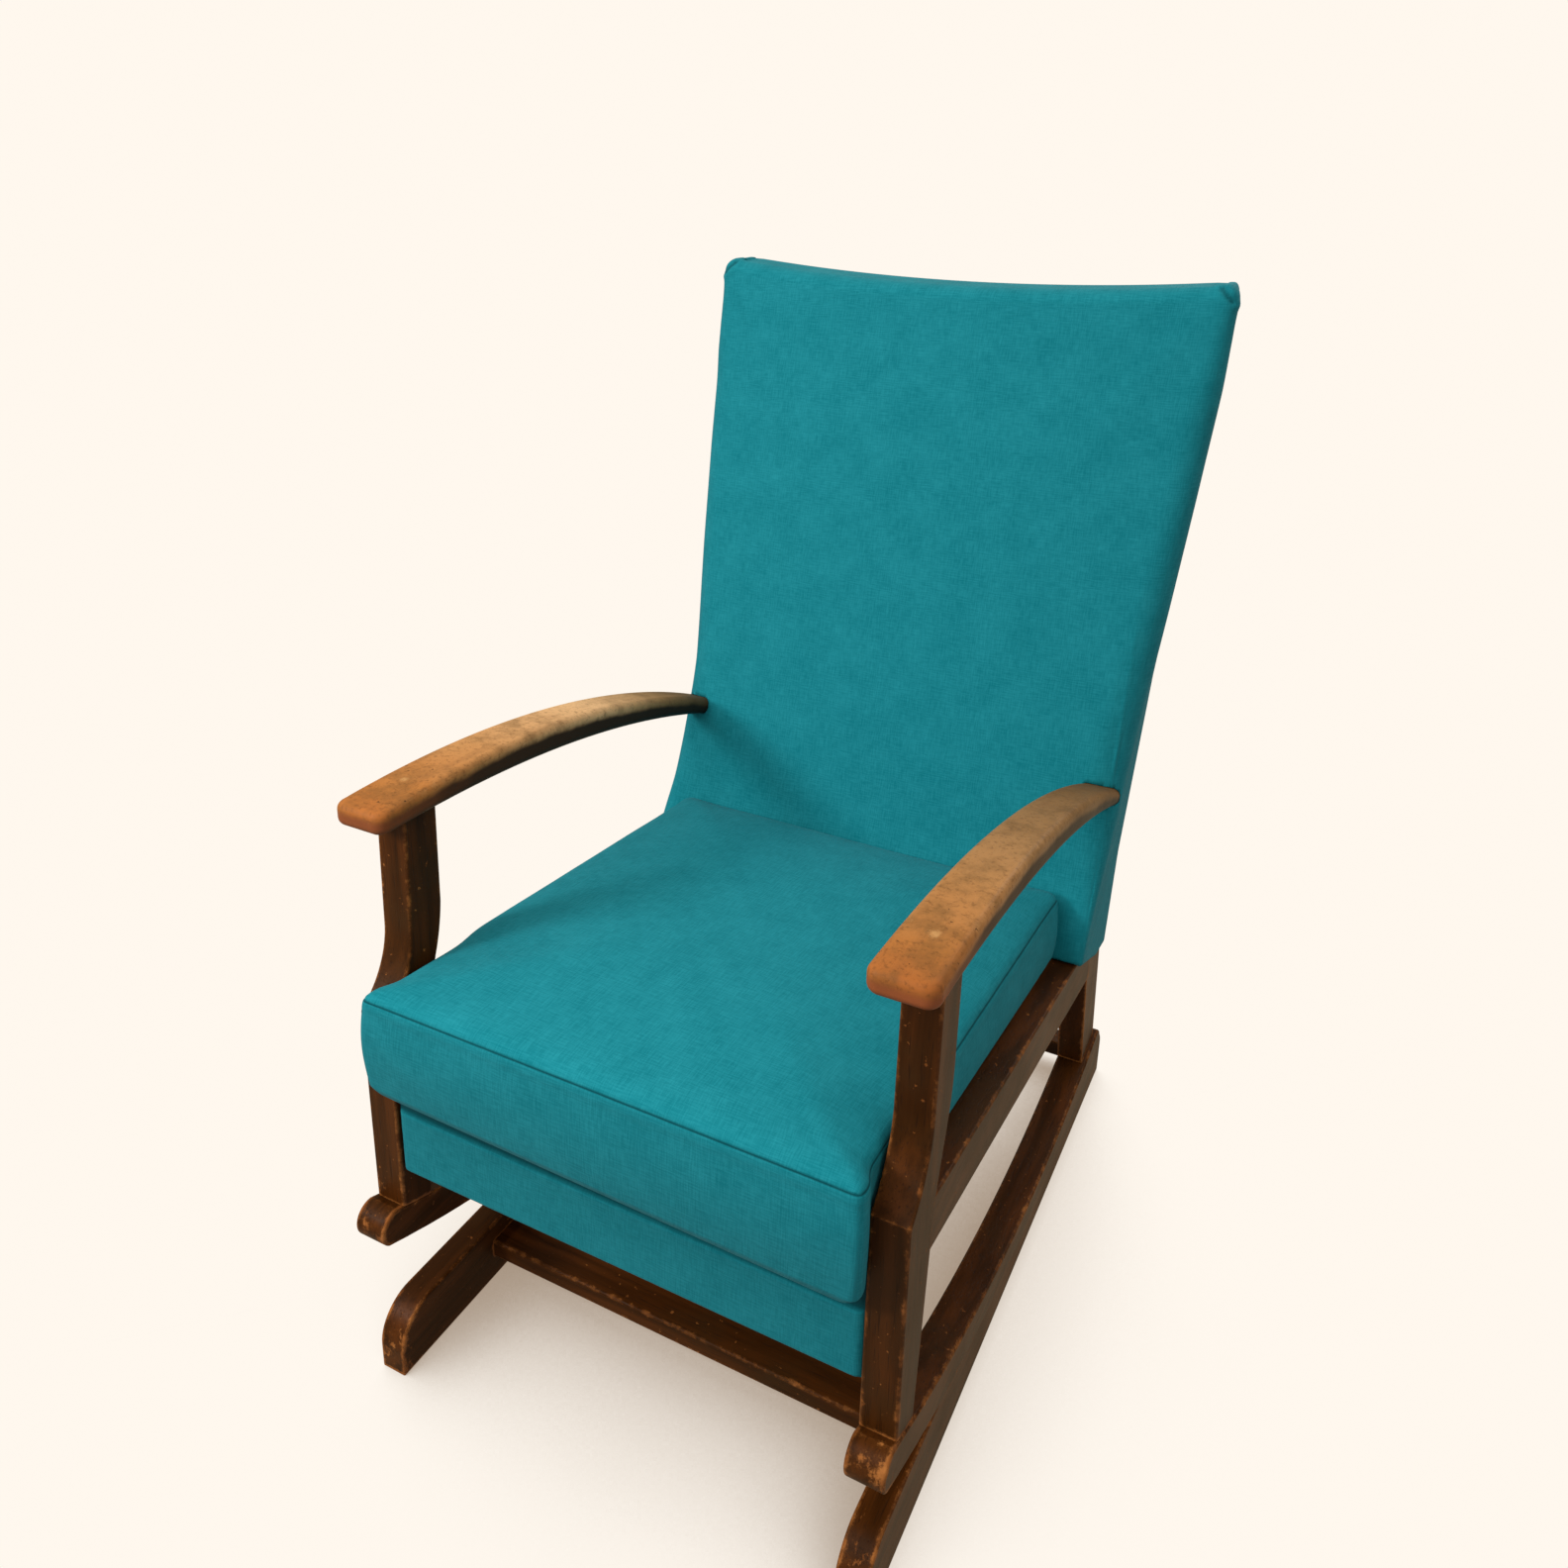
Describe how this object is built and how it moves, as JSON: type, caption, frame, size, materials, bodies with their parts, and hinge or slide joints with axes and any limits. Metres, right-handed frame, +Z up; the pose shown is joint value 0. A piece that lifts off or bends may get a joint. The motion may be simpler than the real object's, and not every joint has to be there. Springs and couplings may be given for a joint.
{
  "type": "upholstered rocking chair",
  "caption": "Upholstered platform rocking chair: loose seat cushion, flared padded back, wooden arms and curved rockers that roll on a sprung floor base.",
  "frame": {"origin": "on the floor, under the middle of the whole chair's box", "axes": "+Z up, +Y towards the chair's back, +X to the right as seen from the front"},
  "size_m": [0.6478, 0.8484, 1.0565],
  "materials": {
    "stained_wood": "dark brown stain, worn edges",
    "arm_wood": "honey varnish, worn through on top",
    "frame_wood": "raw timber",
    "upholstery": "teal plain weave",
    "webbing": "jute webbing",
    "deck_cloth": "plain cotton",
    "spring_steel": "dull oiled wire",
    "plate_steel": "black japanned sheet",
    "screw_steel": "dull steel"
  },
  "bodies": {
    "base": {"base_plate_left": "plate_steel", "base_plate_right": "plate_steel", "base_plate_screws": "screw_steel", "runner_left": "stained_wood", "runner_right": "stained_wood", "spring_left": "spring_steel", "spring_right": "spring_steel", "stretcher_front": "stained_wood", "stretcher_rear": "stained_wood"},
    "chair": {"arm_left": "arm_wood", "arm_right": "arm_wood", "back_cover": "upholstery", "back_low_rail": "frame_wood", "back_pad": "upholstery", "back_top_rail": "frame_wood", "back_webbing": "webbing", "chair_plate_left": "plate_steel", "chair_plate_right": "plate_steel", "chair_plate_screws": "screw_steel", "frame_dowels": "frame_wood", "front_apron": "upholstery", "front_corner_block_left": "frame_wood", "front_corner_block_right": "frame_wood", "front_post_left": "stained_wood", "front_post_right": "stained_wood", "front_rail": "frame_wood", "rear_corner_block_left": "frame_wood", "rear_corner_block_right": "frame_wood", "rear_post_left": "stained_wood", "rear_post_right": "stained_wood", "rear_rail": "frame_wood", "rocker_left": "stained_wood", "rocker_right": "stained_wood", "seat_cushion": "upholstery", "seat_deck_cloth": "deck_cloth", "seat_webbing": "webbing", "side_rail_left": "stained_wood", "side_rail_right": "stained_wood"}
  },
  "joints": [
    {"name": "rock", "type": "hinge", "parent": "base", "child": "chair", "pos_m": [0, 0.0523, 0.06925], "axis": [1, 0, 0], "range_deg": [-6, 6], "stiffness_Nm_per_rad": 420, "springref_deg": -0.91, "deforming": ["spring_left", "spring_right"]}
  ]
}
